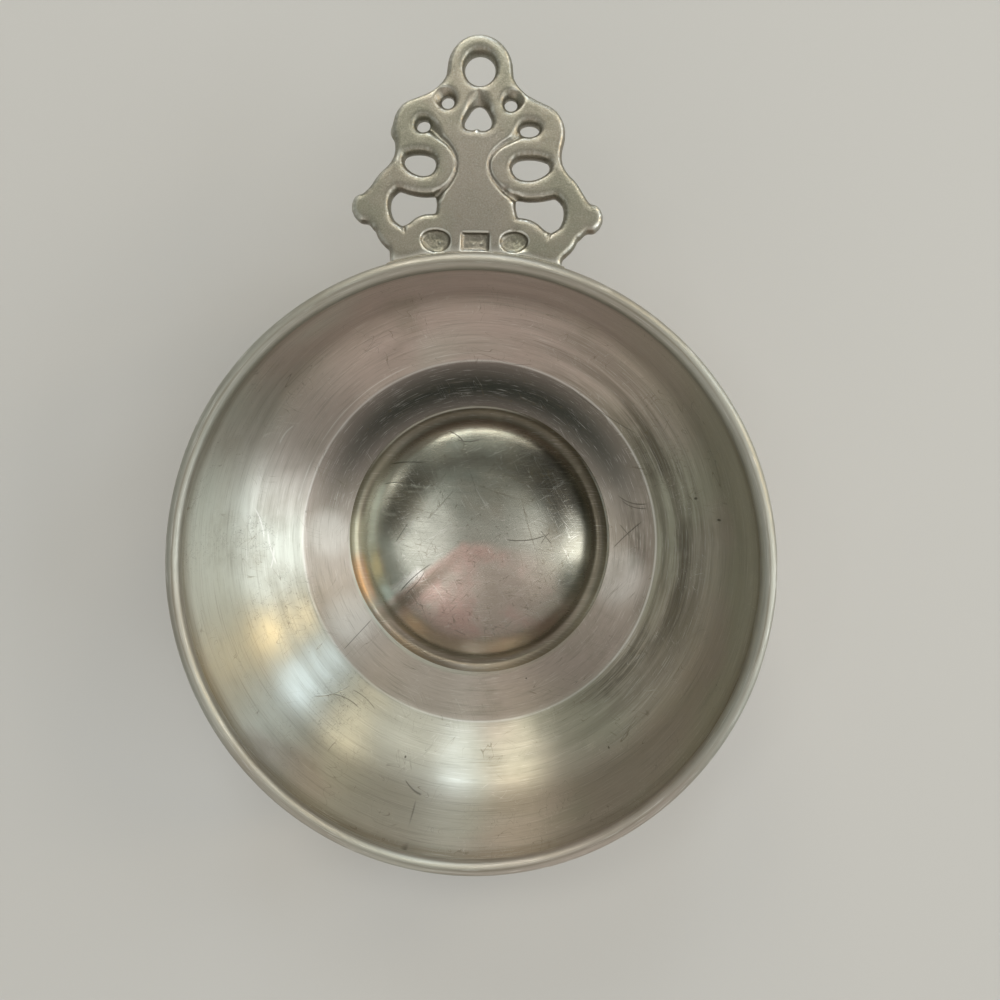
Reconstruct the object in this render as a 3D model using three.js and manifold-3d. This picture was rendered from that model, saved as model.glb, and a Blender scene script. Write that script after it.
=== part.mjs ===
// A pewter porringer: a shallow bowl with a rolled bead at its rim and a domed boss in its floor,
// and one flat pierced handle, cast in one with its bracket and soldered to the wall under the bead.
// Millimetres, +Z up, with the handle towards +Y. The origin is on the table, under the middle of
// the length from the bowl's far side to the handle's tip.

import * as THREE from 'three';
import Module from 'manifold-3d';
import { mergeVertices } from 'three/addons/utils/BufferGeometryUtils.js';

// Bowl
const rimDiameter = 127;
const bowlHeight = 44;
const wall = 1.8;
const outOfRound = 0.017;       // soft metal: the bowl has spread this share along the handle
const beadWidth = 3.2;
const beadHeight = 3.4;
const belly = 0.6;              // how far the side swells past the mouth, inside
const bellyHeight = 24;
const floorHeight = 3.2;        // top of the flat floor, over the table
const floorRadius = 46.7;       // where the side leaves the floor
const turnSlope = 0.54;         // how steeply it leaves
const bossRadius = 28.4;        // where the dome runs into the gutter
const bossCrown = 2;            // over the flat floor
const bossEdgeDrop = 0.75;      // under the flat floor
const bossEdgeSlope = 0.47;
const bossRound = 4.6;          // how far in from its edge the dome turns down
const bossLip = 3;              // from the dome's edge to the middle of the gutter
const gutterLip = 3.1;          // from there to the gutter's outer edge
const gutterDepth = 1.65;
const standingRing = 2.8;       // the flat under the gutter that the bowl stands on
const beadRoom = 1;             // over and under the bead in the shape that cuts the handle's foot
const bowlSides = 72;

// Handle plate: a two-part mould leaves it widest, and its holes narrowest, at mid thickness
const handleDrop = 2.5;         // its face under the top of the bead
const partingLand = 0.6;
const faceHeight = 1.4;         // from the parting land up, and down, to each face
const faceInset = 0.8;          // how far each face draws in from the parting line
const outlineStep = 1.3;
const holeStep = 0.95;
const rootInset = 0.08;         // the drawing's zero line, inside the bead's edge
const footDepth = 8;            // how far the plate is drawn in under the bowl, before it is cut
const ringCentre = 34.5;
const ringRadius = 6.35;

// The mould was cut by eye: the plate's right side lies lower, and its stem leans to the left
const sideDrop = 0.028;         // for each millimetre from the handle's axis
const stemLean = 1;
const leanMiddle = 17;
const leanReach = 10;
const leanHalfWidth = 16;

// Plan of the handle's right half, from its axis and the drawing's zero line
const ankle = [17.15, 0.2];
const notch = [19.95, 3.7];
const knee = [20.5, 12.9];
const lobeLine = [ankle, [18.35, 1.1], [19.35, 2.3], notch];
const knobLine = [
  notch, [21.7, 4.7], [23.8, 5.8], [24.75, 7.95], [24.0, 10.1], [22.3, 11.3], [21, 12.05], knee];
const armLine = [
  knee, [19.3, 14.6], [17.4, 16.4], [16.35, 18.3], [16.3, 20.5], [16.8, 23], [16.3, 25.7], [14.6, 27.9],
  [11.6, 29.2], [9.2, 30.35], [7.4, 31.9], [6.55, 33.2], [ringRadius, ringCentre]];

// Plan of the holes
const hangHoleRadius = 2.95;
const smallHole = { x: 6.1, y: 28.4, radius: 1.25 };
const eyeHole = {
  y: 23.85, halfHeight: 1.2, left: { x: 10.6, halfWidth: 1.35 }, right: { x: 10.0, halfWidth: 1.85 },
};
const ovalLine = [
  [7.4, 16.8], [8.3, 15.1], [10.3, 14.6], [12.6, 15.25], [14.1, 16.6], [14.0, 18.0], [12.5, 18.6],
  [9.9, 18.7], [8.0, 18.1]];
const heartLine = [
  [0, 23.85], [0.75, 23.45], [1.7, 23.5], [2.5, 24.05], [2.6, 25.2], [2.05, 26.3], [1.35, 27.4],
  [0.75, 28], [0, 28.2]];
const archNick = [14.6, 4.95];
const archCrest = [15.3, 11.65];
const archCorner = [7.9, 11];
const archStem = [7.75, 9.3];
const archBottomLine = [[8.1, 7.6], [10.2, 7.4], [12.1, 6.6], [13.4, 5.5], archNick];
const archOuterLine = [archNick, [16.2, 6.0], [17.0, 8.2], [16.7, 10.3], archCrest];
const archTopLine = [archCrest, [12.9, 11.05], [10.4, 10.8], archCorner];

// Grooves in the upper face: place, width and depth along each. The first runs between stem and scroll,
// wide where it leaves the eye and where it runs out into the arch. The second is the nick between the
// swelling top of the foot and the arm, and the third the drop over the heart.
const scrollGroove = [
  { x: 9.8, y: 23.55, width: 2.0, depth: 1.05 },
  { x: 7.4, y: 21.9, width: 1.5, depth: 0.77 },
  { x: 4.9, y: 20.2, width: 1.0, depth: 0.55 },
  { x: 3.3, y: 18, width: 0.8, depth: 0.55 },
  { x: 3.3, y: 15.5, width: 0.8, depth: 0.55 },
  { x: 4.7, y: 13.2, width: 0.9, depth: 0.55 },
  { x: 6.5, y: 11.6, width: 1.3, depth: 0.72 },
  { x: 8.6, y: 10.4, width: 2.0, depth: 1.05 },
];
const nickGroove = [
  { x: 14.6, y: 5.6, width: 1.5, depth: 0.88 },
  { x: 14.2, y: 4.2, width: 1.0, depth: 0.55 },
  { x: 13.8, y: 3, width: 0.2, depth: 0.11 },
];
const heartGroove = [
  { x: 0, y: 27.4, width: 3.2, depth: 1 },
  { x: 0, y: 29, width: 1.9, depth: 0.75 },
  { x: 0, y: 30.7, width: 0.4, depth: 0.1 },
];

// Other relief
const cutterRise = 0.4;         // how far each groove's cutter stands over the face
const spoonDepth = 0.75;
const spoonLength = 4.5;
const spoonWidth = 3.6;
const spoonShift = { x: 0.5, y: 0.3 };
const spoonAngle = 0.6;
const markDepth = 0.55;
const markSlope = 0.3;
const markY = 2.7;
const marks = [
  { x: -7.9, width: 6.1, height: 3.9, round: true },
  { x: -0.1, width: 5.7, height: 2.9, round: false },
  { x: 7.5, width: 5.7, height: 3.6, round: true },
];

// Bracket under the handle, and the soldered joint
const bracketReach = 6.4;
const bracketDrop = 14;
const bracketHalfWidth = 10;
const bracketToe = 1.2;
const bracketCheek = 1.5;       // how far its sides fall straight before they curve in
const seatGap = 0.3;
const solderThickness = 0.4;
const solderOverhang = 0.4;
const solderSink = 0.5;         // the seam lies this far under the handle's face

const weld = 1e-4;
const v = (x, y) => new THREE.Vector2(x, y);

const wasm = await Module();
wasm.setup();

// Closed three.js geometry to a solid that can be joined and cut, and back
function solid(geometry) {
  const bare = geometry.clone();
  bare.deleteAttribute('normal');
  bare.deleteAttribute('uv');
  const merged = mergeVertices(bare, weld);
  const vertProperties = Float32Array.from(merged.attributes.position.array);
  const triVerts = Uint32Array.from(merged.index.array);
  return new wasm.Manifold(new wasm.Mesh({ numProp: 3, vertProperties, triVerts }));
}

function geometryOf(body) {
  const mesh = body.getMesh();
  const geometry = new THREE.BufferGeometry();
  geometry.setAttribute('position', new THREE.BufferAttribute(mesh.vertProperties, 3));
  geometry.setIndex(new THREE.BufferAttribute(mesh.triVerts, 1));
  geometry.computeVertexNormals();
  return geometry;
}

// Stretches of an outline, end to end, without the points that they share
function chain(...stretches) {
  const points = stretches.flat();
  return points.filter((p, i) => i === 0 || p.distanceTo(points[i - 1]) > weld);
}

function smooth(points, step, closed = false) {
  const knots = points.map(([x, y]) => new THREE.Vector3(x, y, 0));
  const curve = new THREE.CatmullRomCurve3(knots, closed, 'centripetal');
  const count = Math.max(4, Math.round(curve.getLength() / step));
  const line = curve.getSpacedPoints(count).map((p) => v(p.x, p.y));
  return closed ? line.slice(0, -1) : line;
}

function arc(x, y, rx, ry, from, to, count) {
  return new THREE.EllipseCurve(x, y, rx, ry, from, to).getPoints(count);
}

// A line moved sideways, to the right of its own direction
function offsetLine(points, distance) {
  return points.map((p, i) => {
    const before = points[Math.max(i - 1, 0)];
    const after = points[Math.min(i + 1, points.length - 1)];
    const along = after.clone().sub(before).normalize();
    return v(Math.max(p.x + along.y * distance, 0), p.y - along.x * distance);
  });
}

// Where a point of the even drawing of the handle lies in the casting
function cast(p) {
  const along = Math.max(0, 1 - ((p.y - leanMiddle) / leanReach) ** 2);
  const across = Math.max(0, 1 - (p.x / leanHalfWidth) ** 2);
  return v(p.x - stemLean * along * along * across, p.y - sideDrop * p.x);
}

// A profile in radius and height, turned about the bowl's axis and spread with the bowl
function turned(profile) {
  const geometry = new THREE.LatheGeometry(profile, bowlSides);
  geometry.rotateX(Math.PI / 2);
  geometry.scale(1 - outOfRound, 1 + outOfRound, 1);
  return geometry;
}

// Bowl: the inside line from the axis to the bead, and the outside one wall away
const beadCentreRadius = rimDiameter / 2 - beadWidth / 2;
const beadCentreHeight = bowlHeight - beadHeight / 2;
const beadRoot = Math.acos(wall / beadWidth);
const mouthRadius = beadCentreRadius - wall / 2;
const mouthHeight = beadCentreHeight - (beadHeight / 2) * Math.sin(beadRoot);
const gutterHeight = floorHeight - gutterDepth;
const gutterMiddle = bossRadius + bossLip;
const gutterMouth = gutterMiddle + gutterLip;

function insideLine() {
  const crown = floorHeight + bossCrown;
  const edge = floorHeight - bossEdgeDrop;
  const side = mouthRadius + belly;
  const turnReach = (side - floorRadius) * 0.8;
  const upperSide = mouthHeight - bellyHeight;
  const boss = new THREE.CubicBezierCurve(
    v(0, crown), v(bossRadius / 2, crown),
    v(bossRadius - bossRound, edge + bossRound * bossEdgeSlope), v(bossRadius, edge));
  const inner = new THREE.CubicBezierCurve(
    v(bossRadius, edge), v(bossRadius + bossLip * 0.37, edge - bossLip * 0.37 * bossEdgeSlope),
    v(gutterMiddle - bossLip * 0.4, gutterHeight), v(gutterMiddle, gutterHeight));
  const outer = new THREE.CubicBezierCurve(
    v(gutterMiddle, gutterHeight), v(gutterMiddle + gutterLip * 0.4, gutterHeight),
    v(gutterMouth - gutterLip * 0.3, floorHeight - gutterDepth * 0.45), v(gutterMouth, floorHeight));
  const turn = new THREE.CubicBezierCurve(
    v(floorRadius, floorHeight), v(floorRadius + turnReach, floorHeight + turnReach * turnSlope),
    v(side, floorHeight + (bellyHeight - floorHeight) * 0.34), v(side, bellyHeight));
  const upright = new THREE.CubicBezierCurve(
    v(side, bellyHeight), v(side, bellyHeight + upperSide * 0.37),
    v(mouthRadius, mouthHeight - upperSide * 0.3), v(mouthRadius, mouthHeight));
  return chain(
    boss.getPoints(5), inner.getPoints(3), outer.getPoints(3), turn.getPoints(8), upright.getPoints(3));
}

function bowlGeometry() {
  const inside = insideLine();
  const shell = offsetLine(inside, wall).map((p) => v(p.x, Math.max(p.y, 0)));
  shell[0] = v(0, inside[0].y - wall);
  shell[shell.length - 1] = v(mouthRadius + wall, mouthHeight);
  const ringInside = gutterMiddle - standingRing / 2;
  const ringOutside = gutterMiddle + standingRing / 2;
  const ring = [v(ringInside, 0), v(ringOutside, 0)];
  const under = shell.filter((p) => p.x < ringInside);
  const side = shell.filter((p) => p.x > ringOutside);
  const beadArc = (from, to, count) => arc(
    beadCentreRadius, beadCentreHeight, beadWidth / 2, beadHeight / 2, from, to, count);
  const bead = [
    ...beadArc(-beadRoot, 0, 2), ...beadArc(0, Math.PI, 6), ...beadArc(Math.PI, Math.PI + beadRoot, 2)];
  return turned(chain(under, ring, side, bead, [...inside].reverse()));
}

// The bowl filled in and grown by a clearance, to cut what sits against its side
function bowlEnvelope(clearance) {
  const side = offsetLine(insideLine(), wall + clearance).filter((p) => p.y > floorHeight);
  const underBead = beadCentreHeight - beadHeight / 2;
  const lower = side.filter((p) => p.y < underBead - beadRoom && p.x > floorRadius);
  const over = rimDiameter / 2 + clearance;
  const top = bowlHeight + clearance + beadRoom;
  return solid(turned(chain([v(0, lower[0].y)], lower, [v(over, underBead), v(over, top), v(0, top)])));
}

// Handle
const jointGap = 2 * seatGap + solderThickness;
const beadReach = (rimDiameter / 2) * (1 + outOfRound);
const bellyReach = (mouthRadius + belly + wall + jointGap) * (1 + outOfRound);
const root = beadReach - rootInset;
const tip = root + ringCentre + ringRadius;
const plateThickness = partingLand + 2 * faceHeight;
const face = bowlHeight - handleDrop;
const back = face - plateThickness;

function handleOutline() {
  const foot = [v(ankle[0], -footDepth), v(...ankle)];
  const stretches = [lobeLine, knobLine, armLine].map((line) => smooth(line, outlineStep));
  const ring = arc(0, ringCentre, ringRadius, ringRadius, 0, Math.PI / 2, 8);
  const right = chain(foot, ...stretches, ring);
  const left = right.map((p) => v(-p.x, p.y)).reverse();
  return chain(right, left).map(cast);
}

function heartHole() {
  const half = smooth(heartLine, holeStep);
  return chain(half, half.map((p) => v(-p.x, p.y)).reverse()).slice(0, -1);
}

// The big hole between stem, scroll, arm and the swelling top of the foot
function archHole() {
  const stretches = [archBottomLine, archOuterLine, archTopLine].map((line) => smooth(line, holeStep));
  return chain(...stretches, [v(...archStem)]);
}

function handleHoles() {
  const round = (x, y, rx, ry) => {
    const count = Math.max(14, Math.round((Math.PI * (rx + ry)) / holeStep));
    return arc(x, y, rx, ry, 0, 2 * Math.PI, count).slice(0, -1);
  };
  const holes = [round(0, ringCentre, hangHoleRadius, hangHoleRadius), heartHole()];
  for (const [side, eye] of [[-1, eyeHole.left], [1, eyeHole.right]]) {
    holes.push(round(side * smallHole.x, smallHole.y, smallHole.radius, smallHole.radius));
    holes.push(round(side * eye.x, eyeHole.y, eye.halfWidth, eyeHole.halfHeight));
    holes.push(smooth(ovalLine, holeStep, true).map((p) => v(side * p.x, p.y)));
    holes.push(archHole().map((p) => v(side * p.x, p.y)));
  }
  return holes.map((points) => new THREE.Path(points.map(cast)));
}

function plate() {
  const shape = new THREE.Shape(handleOutline());
  shape.holes = handleHoles();
  const geometry = new THREE.ExtrudeGeometry(shape, {
    depth: partingLand,
    bevelThickness: faceHeight,
    bevelSize: faceInset,
    bevelOffset: -faceInset,
    bevelSegments: 3,
  });
  geometry.translate(0, root, back + faceHeight);
  return solid(geometry);
}

// A cutter with a V section that widens and deepens along its course over the upper face
function groove(course, side = 1) {
  const knots = course.map((k) => {
    const p = cast(v(side * k.x, k.y));
    return new THREE.Vector3(p.x, p.y, 0);
  });
  const curve = new THREE.CatmullRomCurve3(knots, false, 'centripetal');
  const steps = course.length * 3;
  const positions = [];
  for (let i = 0; i <= steps; i += 1) {
    const t = i / steps;
    const k = t * (course.length - 1);
    const a = course[Math.min(Math.floor(k), course.length - 2)];
    const b = course[Math.min(Math.floor(k) + 1, course.length - 1)];
    const mix = k - Math.min(Math.floor(k), course.length - 2);
    const width = THREE.MathUtils.lerp(a.width, b.width, mix);
    const depth = THREE.MathUtils.lerp(a.depth, b.depth, mix);
    const p = curve.getPoint(t);
    const along = curve.getTangent(t);
    const flare = (width / 2) * (1 + cutterRise / depth);
    positions.push(p.x - along.y * flare, p.y + along.x * flare, cutterRise);
    positions.push(p.x, p.y, -depth);
    positions.push(p.x + along.y * flare, p.y - along.x * flare, cutterRise);
  }
  const index = [0, 1, 2];
  for (let i = 0; i < steps; i += 1) {
    for (const [a, b] of [[0, 1], [1, 2], [2, 0]]) {
      const here = 3 * i;
      index.push(here + a, here + 3 + a, here + b, here + b, here + 3 + a, here + 3 + b);
    }
  }
  const last = 3 * steps;
  index.push(last, last + 2, last + 1);
  const geometry = new THREE.BufferGeometry();
  geometry.setAttribute('position', new THREE.Float32BufferAttribute(positions, 3));
  geometry.setIndex(index);
  geometry.translate(0, root, face);
  return solid(geometry);
}

// A shallow spoon cut, long where the funnel of a hole runs out to one side
function spoon(side) {
  const geometry = new THREE.SphereGeometry(1, 18, 10);
  geometry.scale(spoonLength / 2, spoonWidth / 2, spoonDepth);
  geometry.rotateZ(side * spoonAngle);
  const centre = cast(v(side * (smallHole.x + spoonShift.x), smallHole.y + spoonShift.y));
  geometry.translate(centre.x, root + centre.y, face);
  return solid(geometry);
}

function markCutter({ x, width, height, round }) {
  const shape = new THREE.Shape();
  if (round) {
    shape.absellipse(0, 0, width / 2, height / 2, 0, 2 * Math.PI);
  } else {
    shape.moveTo(-width / 2, -height / 2);
    shape.lineTo(width / 2, -height / 2);
    shape.lineTo(width / 2, height / 2);
    shape.lineTo(-width / 2, height / 2);
    shape.closePath();
  }
  const geometry = new THREE.ExtrudeGeometry(shape, {
    depth: 1,
    curveSegments: 9,
    bevelThickness: markDepth,
    bevelSize: markSlope,
    bevelOffset: -markSlope,
    bevelSegments: 1,
  });
  geometry.translate(x, root + markY, face);
  return solid(geometry);
}

// A tongue seen along the handle, growing by a margin all round
function tongue(margin) {
  const half = bracketHalfWidth + margin;
  const low = -bracketDrop - margin;
  const outline = new THREE.Shape();
  outline.moveTo(-half, plateThickness / 2);
  outline.lineTo(-half, -bracketCheek);
  outline.bezierCurveTo(-half * 0.85, low * 0.6, -half * 0.55, low, 0, low);
  outline.bezierCurveTo(half * 0.55, low, half * 0.85, low * 0.6, half, -bracketCheek);
  outline.lineTo(half, plateThickness / 2);
  outline.closePath();
  const length = beadReach + bracketReach;
  const geometry = new THREE.ExtrudeGeometry(outline, { depth: length, bevelEnabled: false, curveSegments: 7 });
  geometry.rotateX(Math.PI / 2);
  geometry.translate(0, length, back);
  return solid(geometry);
}

// The bracket thins from a broad head under the plate to a toe against the wall
function bracket() {
  const wedge = new THREE.Shape();
  const inner = beadReach - footDepth;
  wedge.moveTo(inner, plateThickness / 2);
  wedge.lineTo(inner, -bracketDrop - bracketToe);
  wedge.lineTo(bellyReach + bracketToe, -bracketDrop - bracketToe);
  wedge.quadraticCurveTo(bellyReach + bracketToe * 1.2, -bracketDrop * 0.45, beadReach + bracketReach, 0);
  wedge.lineTo(beadReach + bracketReach, plateThickness / 2);
  wedge.closePath();
  const width = 2 * (bracketHalfWidth + bracketToe);
  const geometry = new THREE.ExtrudeGeometry(wedge, { depth: width, bevelEnabled: false, curveSegments: 7 });
  // It is drawn in the Y and Z of the porringer, so it is stood up and turned to run along X
  geometry.rotateX(Math.PI / 2);
  geometry.rotateZ(Math.PI / 2);
  geometry.translate(-width / 2, 0, back);
  return solid(geometry).intersect(tongue(0));
}

function handleGeometry() {
  const cutters = marks.map(markCutter);
  cutters.push(groove(heartGroove));
  for (const side of [-1, 1]) {
    cutters.push(groove(scrollGroove, side), groove(nickGroove, side), spoon(side));
  }
  cutters.push(bowlEnvelope(jointGap));
  let body = plate().add(bracket());
  for (const cutter of cutters) {
    body = body.subtract(cutter);
  }
  return geometryOf(body);
}

// The seam between wall and handle: a thin skin that runs a little past the foot all round
function solderGeometry() {
  const height = plateThickness - solderSink + solderOverhang;
  const strip = new THREE.BoxGeometry(2 * (ankle[0] + solderOverhang), beadReach + bracketReach, height);
  strip.translate(0, (beadReach + bracketReach) / 2, back - solderOverhang + height / 2);
  const outline = solid(strip).add(tongue(solderOverhang));
  const skin = bowlEnvelope(seatGap + solderThickness).subtract(bowlEnvelope(seatGap));
  return geometryOf(skin.intersect(outline));
}

function pewter(color, roughness) {
  return new THREE.MeshStandardMaterial({ color, roughness, metalness: 0.9 });
}

function piece(name, geometry, material) {
  const mesh = new THREE.Mesh(geometry, material);
  mesh.name = name;
  return mesh;
}

const porringer = new THREE.Group();
porringer.position.y = (beadReach - tip) / 2;
porringer.add(piece('bowl', bowlGeometry(), pewter(0xa39d93, 0.32)));
porringer.add(piece('handle', handleGeometry(), pewter(0x8e8d80, 0.55)));
porringer.add(piece('solder_seam', solderGeometry(), pewter(0x7d7c70, 0.6)));

export default porringer;
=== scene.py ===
"""A pewter porringer: a turned bowl, and one pierced, cast handle soldered on under its rim.

Metres, in the porringer's own frame: +Z up, the handle towards +Y, and the origin on the table
under the middle of its length. Sizes in millimetres carry MM or are named as such.
"""

import math

import bpy
from mathutils import Euler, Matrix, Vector, noise
from mathutils.geometry import interpolate_bezier
from mathutils.kdtree import KDTree


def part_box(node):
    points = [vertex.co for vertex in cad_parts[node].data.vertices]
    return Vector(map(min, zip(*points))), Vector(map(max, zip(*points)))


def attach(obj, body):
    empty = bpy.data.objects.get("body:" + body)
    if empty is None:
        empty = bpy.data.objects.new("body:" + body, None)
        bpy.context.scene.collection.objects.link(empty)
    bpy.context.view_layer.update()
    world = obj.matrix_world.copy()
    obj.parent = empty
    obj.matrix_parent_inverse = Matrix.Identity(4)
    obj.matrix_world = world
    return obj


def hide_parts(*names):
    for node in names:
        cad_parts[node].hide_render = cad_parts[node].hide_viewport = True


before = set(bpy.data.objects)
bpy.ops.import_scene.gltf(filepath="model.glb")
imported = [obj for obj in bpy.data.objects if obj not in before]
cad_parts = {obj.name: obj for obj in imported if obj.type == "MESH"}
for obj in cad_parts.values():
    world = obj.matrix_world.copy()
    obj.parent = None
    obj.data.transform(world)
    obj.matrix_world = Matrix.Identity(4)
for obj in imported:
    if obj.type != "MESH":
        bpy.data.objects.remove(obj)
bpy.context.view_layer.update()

MM = 0.001

# The bowl's place, read off the frame
bowl_low, bowl_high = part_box("bowl")
BOWL_AXIS = Vector((0, (bowl_low.y + bowl_high.y) / 2, 0))
RIM_HEIGHT = bowl_high.z
HALF_ACROSS = (bowl_high.x - bowl_low.x) / 2
HALF_ALONG = (bowl_high.y - bowl_low.y) / 2
RIM_RADIUS = (HALF_ACROSS + HALF_ALONG) / 2
SPREAD_X = HALF_ACROSS / RIM_RADIUS
SPREAD_Y = HALF_ALONG / RIM_RADIUS

# The bowl's section, as the solid has it
WALL = 1.8 * MM
BEAD_WIDTH = 3.2 * MM
BEAD_HEIGHT = 3.4 * MM
BELLY = 0.6 * MM
BELLY_HEIGHT = 24.0 * MM
FLOOR_HEIGHT = 3.2 * MM
FLOOR_RADIUS = 46.7 * MM
BOSS_CROWN = 2.0 * MM
BOSS_EDGE_DROP = 0.75 * MM
BOSS_EDGE_SLOPE = 0.47
BOSS_ROUND = 4.6 * MM
GUTTER_DEPTH = 1.65 * MM
GUTTER_MIDDLE = 31.4 * MM
GUTTER_MOUTH = 34.5 * MM
# The turn's slope and corner, the boss's radius and the gutter's middle: under the bowl as the solid
# has them, and inside, where the metal is left thicker in the turn and the gutter is cut narrower
UNDERSIDE = (0.54, 0.34, 28.4 * MM, GUTTER_MIDDLE)
INSIDE = (0.73, 0.5, 29.6 * MM, 32.1 * MM)
BOSS_SHIFT = Vector((0.2, 1.2, 0)) * MM     # the boss and gutter lie a little off the bowl's axis
STANDING_RING = 2.8 * MM
STANDING_FLAT = 0.9 * MM        # below this the metal stays even, so that the bowl stands still
BOWL_STEPS = 240
WAVE_LENGTH = 13 * MM
WAVE_HEIGHT = 0.07 * MM
# The bowl's finishes, in the order of its materials. The wall's finish takes in the flat floor, and
# the boss's takes in the gutter.
ZONES = ["wall", "boss", "bead", "outside"]

# The handle's place
handle_low, handle_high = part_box("handle")
HANDLE_FACE = handle_high.z
HANDLE_ROOT = handle_high.y - 40.85 * MM
HANDLE_MIDDLE = handle_high.y - 22 * MM
HANDLE_VOXEL = 0.22 * MM
PLATE_THICKNESS = 3.4 * MM
JOINT_GAP = 1.0 * MM            # left between the bowl and the handle's foot for the seam
SOLDER_LINE = 0.25 * MM         # what shows of the solder at the foot
SOLDER_SWELL = 0.3 * MM
SOLDER_VOXEL = 0.12 * MM
FOOT_REACH = 3.0 * MM
BAND_FALL = 0.26 * MM
BAND_REACH = 1.4 * MM

# Places on the handle are in millimetres, to the right of its axis and out from its root.
# Soft hollows pressed into the upper face: middle, half sizes, turn in degrees and depth
HOLLOWS = [
    (0.1, 27.8, 2.7, 2.9, 0, 0.9),
    (-8.7, 23.6, 2.7, 1.15, -38, 0.75),
    (8.1, 23.1, 2.3, 1.0, 32, 0.55),
    (-6.3, 29.0, 2.3, 1.9, 35, 0.35),
    (6.5, 29.0, 2.4, 1.9, -35, 0.35),
    (-7.6, 10.9, 1.7, 1.3, 40, 0.5),
    (7.8, 10.6, 1.5, 1.2, -40, 0.5),
]
# The three struck marks: middle, half sizes and whether round
MARKS = [(-7.9, 2.7, 3.0, 1.95, True), (-0.1, 2.7, 2.8, 1.5, False), (7.5, 2.7, 2.8, 1.8, True)]
MARK_PRESS = 0.36
MARK_ROUGH = 0.10
MARK_LEAN = 0.3
# Where the mould's grooves were rubbed soft, and where dirt is thickest: place and reach
SOFT_FUNNELS = [
    (0.0, 28.6, 3.6), (-8.6, 23.3, 2.8), (8.4, 23.0, 2.6), (-6.1, 28.8, 2.6), (6.3, 28.8, 2.6),
    (-7.7, 29.5, 2.3), (7.8, 29.5, 2.3),
]
THICK_DIRT = [
    (-7.7, 10.6, 1.9), (7.8, 10.5, 1.3), (-7.6, 8.2, 1.0), (-8.4, 22.9, 1.8), (-6.4, 21.2, 1.4),
    (8.2, 22.6, 1.5), (-2.9, 36.4, 1.3), (2.7, 36.8, 1.2), (1.6, 28.6, 0.9), (-2.6, 25.6, 0.9),
]
# The notches beside the two side knobs: place and reach, and where in the right knob they point to
KNOB_NECKS = [(-22.3, 11.2, 1.7), (22.3, 10.5, 1.7), (-21.6, 5.1, 1.6), (21.8, 4.1, 1.8)]
KNOB_MIDDLE = (20.5, 8.0)
NECK_PINCH = 0.45
# A burr of metal at the left shoulder
BURR_PLACE = Vector((-16.3 * MM, handle_high.y - 18.0 * MM, HANDLE_FACE - PLATE_THICKNESS / 2))
BURR_LENGTH = 1.9 * MM
BURR_DEPTH = 1.2 * MM
BURR_HEIGHT = 0.7 * MM
# How often the shape is smoothed before places are measured against it
FORM_SPREAD = 200
EDGE_SPREAD = 14
SOLDER_SPREAD = 40
LIGHT_SIDE = Vector((0.5, 0.86, 0))    # the light comes from this side, and walls that turn away from it are painted with shade


# Helpers for modelling


def select_only(piece):
    """Makes one object the only selected and the active one."""
    bpy.ops.object.select_all(action="DESELECT")
    piece.select_set(True)
    bpy.context.view_layer.objects.active = piece


def edit(piece):
    """Opens an object in edit mode with all of its mesh selected."""
    select_only(piece)
    bpy.ops.object.mode_set(mode="EDIT")
    bpy.ops.mesh.select_all(action="SELECT")


def leave_edit():
    """Goes back from edit mode to object mode."""
    bpy.ops.object.mode_set(mode="OBJECT")


def apply_modifier(piece, kind, **settings):
    """Adds one modifier with its settings and applies it."""
    select_only(piece)
    modifier = piece.modifiers.new(kind.title(), kind)
    for name, value in settings.items():
        setattr(modifier, name, value)
    bpy.ops.object.modifier_apply(modifier=modifier.name)


def place_applied(piece):
    """Takes an object's place, turn and size into its mesh."""
    select_only(piece)
    bpy.ops.object.transform_apply(location=True, rotation=True, scale=True)


def copy_of_node(node, name):
    """A piece that starts as a CAD node's own surface, with its loose triangles merged."""
    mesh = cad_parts[node].data.copy()
    mesh.name = name
    mesh.materials.clear()
    piece = bpy.data.objects.new(name, mesh)
    bpy.context.scene.collection.objects.link(piece)
    edit(piece)
    bpy.ops.mesh.remove_doubles(threshold=0.001 * MM)
    leave_edit()
    return piece


def draw_line(name, points):
    """One vertex, extruded from point to point."""
    bpy.ops.object.select_all(action="DESELECT")
    bpy.ops.mesh.primitive_plane_add(size=MM, location=points[0])
    piece = bpy.context.active_object
    piece.name = name
    bpy.ops.object.mode_set(mode="EDIT")
    bpy.ops.mesh.merge(type="CENTER")
    for start, end in zip(points, points[1:]):
        bpy.ops.mesh.extrude_vertices_move(TRANSFORM_OT_translate={"value": end - start})
    leave_edit()
    place_applied(piece)
    return piece


def bezier(count, *corners):
    """Points of one Bezier stretch, from its four corners in radius and height."""
    knots = [Vector((radius, 0, height)) for radius, height in corners]
    return interpolate_bezier(*knots, count)


def joined(*stretches):
    """Stretches of a line end to end, without the points that they share."""
    points = [point for stretch in stretches for point in stretch]
    return [p for i, p in enumerate(points) if i == 0 or (p - points[i - 1]).length > 0.01 * MM]


def offset_line(points, distance):
    """A line moved sideways, away from the bowl's inside."""
    moved = []
    for i, point in enumerate(points):
        before = points[max(i - 1, 0)]
        after = points[min(i + 1, len(points) - 1)]
        along = (after - before).normalized()
        moved.append(Vector((max(point.x + along.z * distance, 0), 0, point.z - along.x * distance)))
    return moved


def ease(value):
    """0 to 1 with soft ends."""
    value = min(max(value, 0), 1)
    return value * value * (3 - 2 * value)


# Bowl

bead_centre_radius = RIM_RADIUS - BEAD_WIDTH / 2
bead_centre_height = RIM_HEIGHT - BEAD_HEIGHT / 2
bead_root = math.acos(WALL / BEAD_WIDTH)
mouth_radius = bead_centre_radius - WALL / 2
mouth_height = bead_centre_height - BEAD_HEIGHT / 2 * math.sin(bead_root)


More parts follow.
